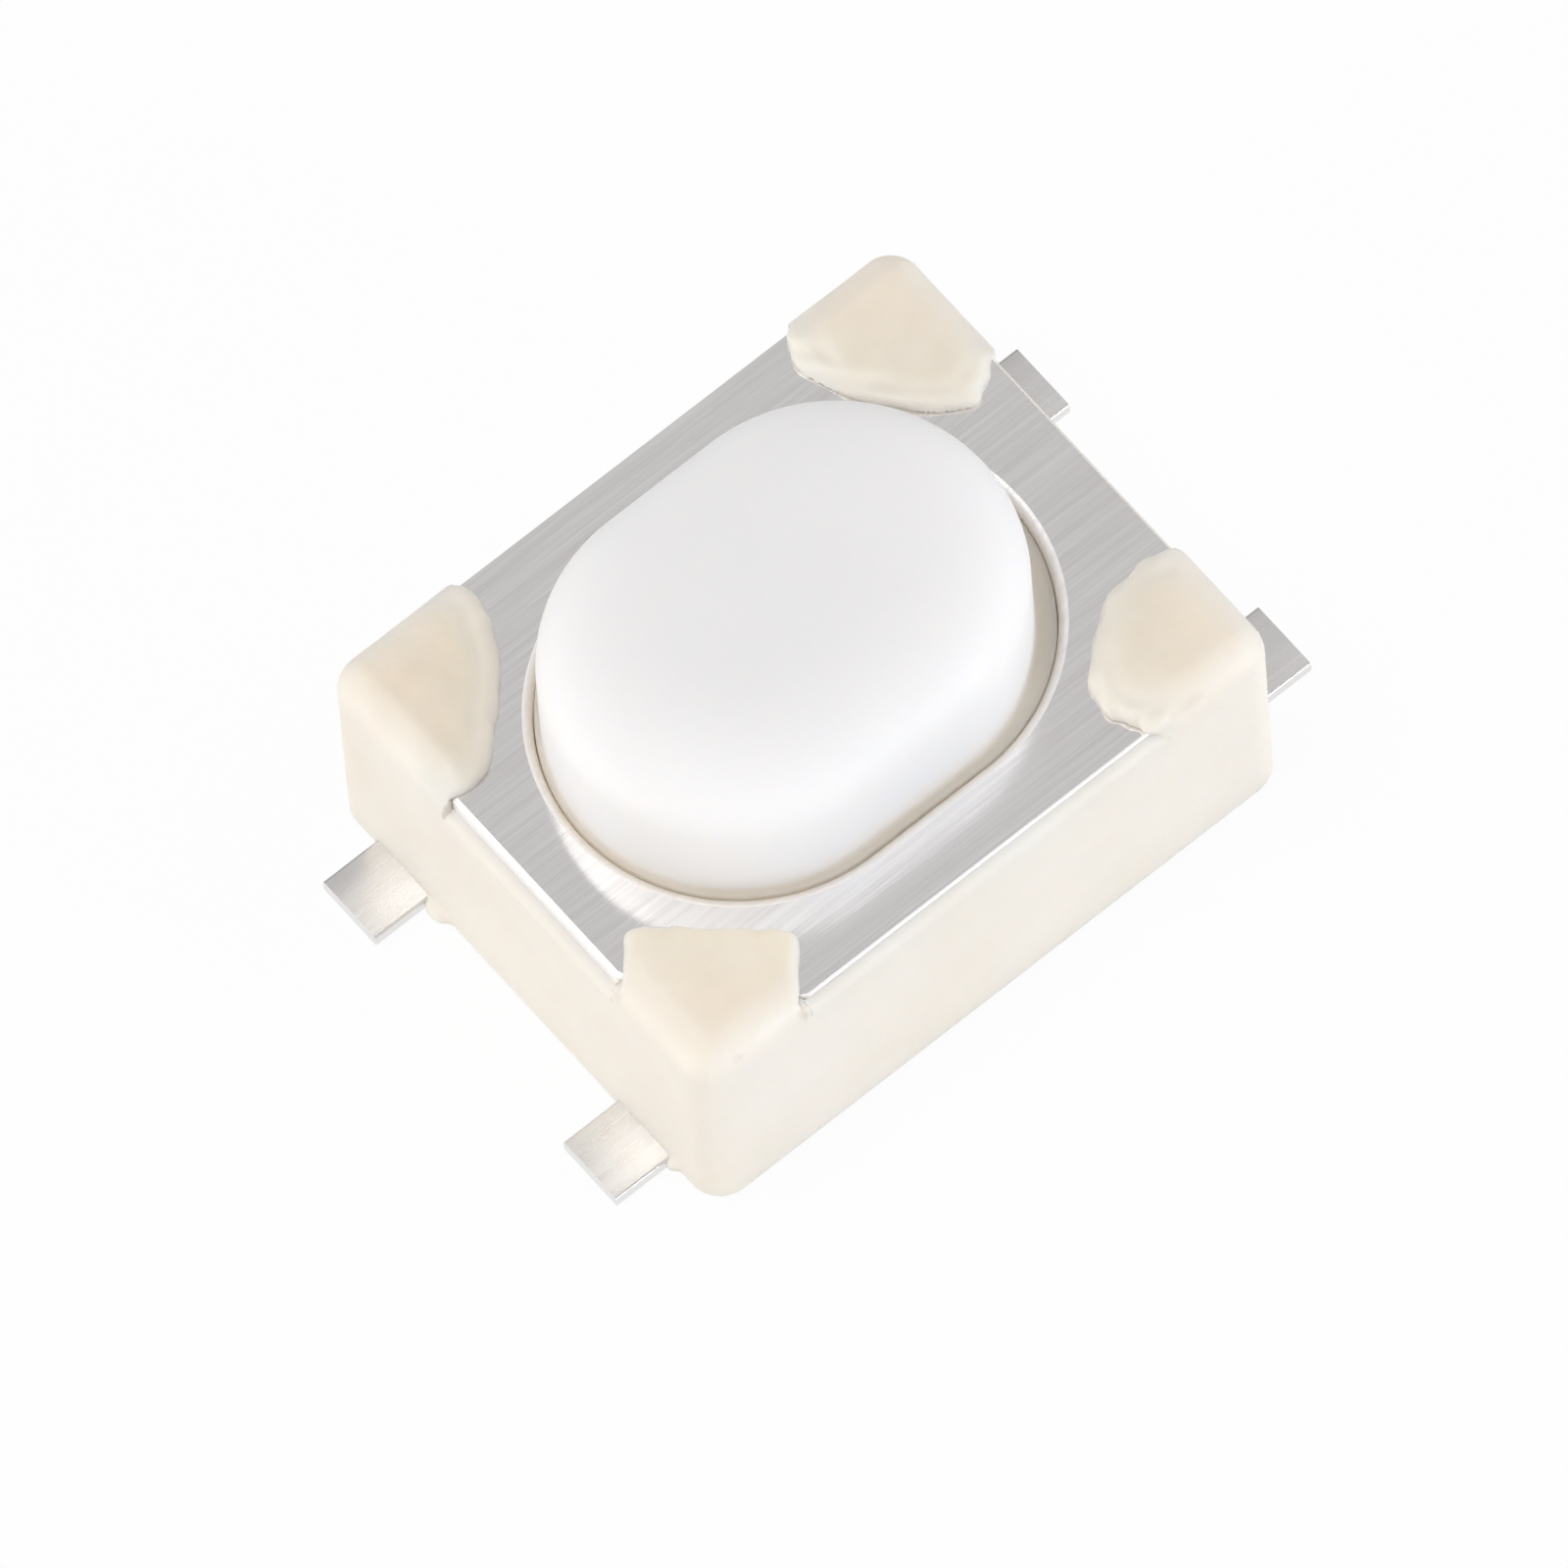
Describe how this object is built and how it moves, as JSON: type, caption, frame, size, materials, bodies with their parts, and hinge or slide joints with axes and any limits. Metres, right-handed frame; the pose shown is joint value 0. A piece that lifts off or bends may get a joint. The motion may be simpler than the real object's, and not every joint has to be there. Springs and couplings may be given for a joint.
{
  "type": "tactile push button switch",
  "caption": "Low surface-mount tactile switch with a tall oval push button under a flat steel cover held by melted corner posts, and flat solder terminals.",
  "frame": {"origin": "middle of the board plane, on the undersides of the solder terminals", "axes": "+X along the long side, the way the terminals point; +Z away from the board, out of the button"},
  "size_m": [0.0049, 0.0032, 0.0026],
  "materials": {
    "housing_plastic": "satin cream",
    "button_plastic": "satin white",
    "cover_steel": "brushed along X",
    "dome_steel": "rolled spring steel",
    "lead_plating": "silver plated"
  },
  "bodies": {
    "switch_body": {"housing": "housing_plastic", "cover": "cover_steel", "snap_dome": "dome_steel", "centre_contact": "lead_plating", "outer_contact": "lead_plating"},
    "button": {"button": "button_plastic"}
  },
  "joints": [
    {"name": "button_press", "type": "slide", "parent": "switch_body", "child": "button", "axis": [0, 0, -1], "range_m": [0, 0.00025], "stiffness_N_per_m": 6400, "deforming": ["snap_dome"]}
  ]
}
